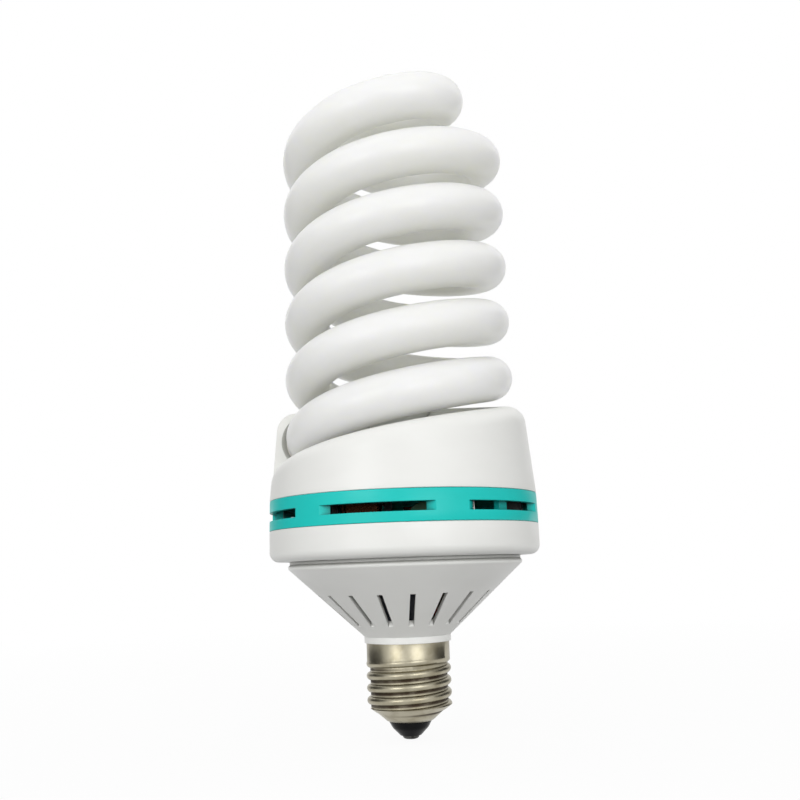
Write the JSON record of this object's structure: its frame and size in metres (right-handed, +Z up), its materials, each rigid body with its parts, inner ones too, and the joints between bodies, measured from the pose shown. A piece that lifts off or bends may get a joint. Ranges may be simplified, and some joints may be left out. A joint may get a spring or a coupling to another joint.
{
  "type": "spiral energy saving bulb",
  "caption": "Compact fluorescent lamp with a double spiral tube, ramped white cover, teal vent ring, conical vented ballast case and screw cap.",
  "frame": {"origin": "tip of the centre contact, on the lamp's axis", "axes": "+Z up the lamp's axis from the cap to the tube, -Y the pictured front, +X to its right"},
  "size_m": [0.085, 0.085, 0.2127],
  "materials": {
    "phosphor_glass": "smooth glass, white coating inside",
    "white_plastic": "smooth moulded, semi-gloss",
    "teal_plastic": "smooth moulded, semi-gloss",
    "nickelled_brass": "nickel plate over rolled brass",
    "black_glass": "glossy pressed glass",
    "solder": "dull solder over brass",
    "cement": "matt, chalky",
    "tungsten": "dull drawn wire",
    "laminate": "paper laminate, matt",
    "sleeve": "shrink sleeve, satin",
    "ferrite": "sintered, matt",
    "bobbin_plastic": "moulded, matt",
    "copper": "enamelled wire, glossy",
    "hookup_wire": "wire insulation, satin",
    "epoxy": "moulded epoxy, matt",
    "film_case": "dipped coating, glossy",
    "disc_coating": "lacquer, satin",
    "tinned": "tinned wire"
  },
  "bodies": {
    "root": {"spiral_tube": "phosphor_glass", "electrodes": "tungsten", "tube_cover": "white_plastic", "tube_cement": "cement", "vent_ring": "teal_plastic", "ballast_case": "white_plastic", "cap_spigot": "white_plastic", "screw_shell": "nickelled_brass", "cap_insulator": "black_glass", "centre_contact": "solder", "circuit_board": "laminate", "bulk_capacitor": "sleeve", "choke_core": "ferrite", "choke_bobbin": "bobbin_plastic", "choke_winding": "copper", "drive_toroid": "ferrite", "drive_windings": "hookup_wire", "switching_transistors": "epoxy", "resonant_capacitor": "film_case", "film_capacitors": "film_case", "filter_inductor": "sleeve", "start_thermistor": "disc_coating", "fuse_resistor": "disc_coating", "rectifier_diodes": "epoxy", "wrap_pins": "tinned", "electrode_leads": "tinned", "live_lead": "hookup_wire", "neutral_lead": "hookup_wire"}
  },
  "joints": []
}
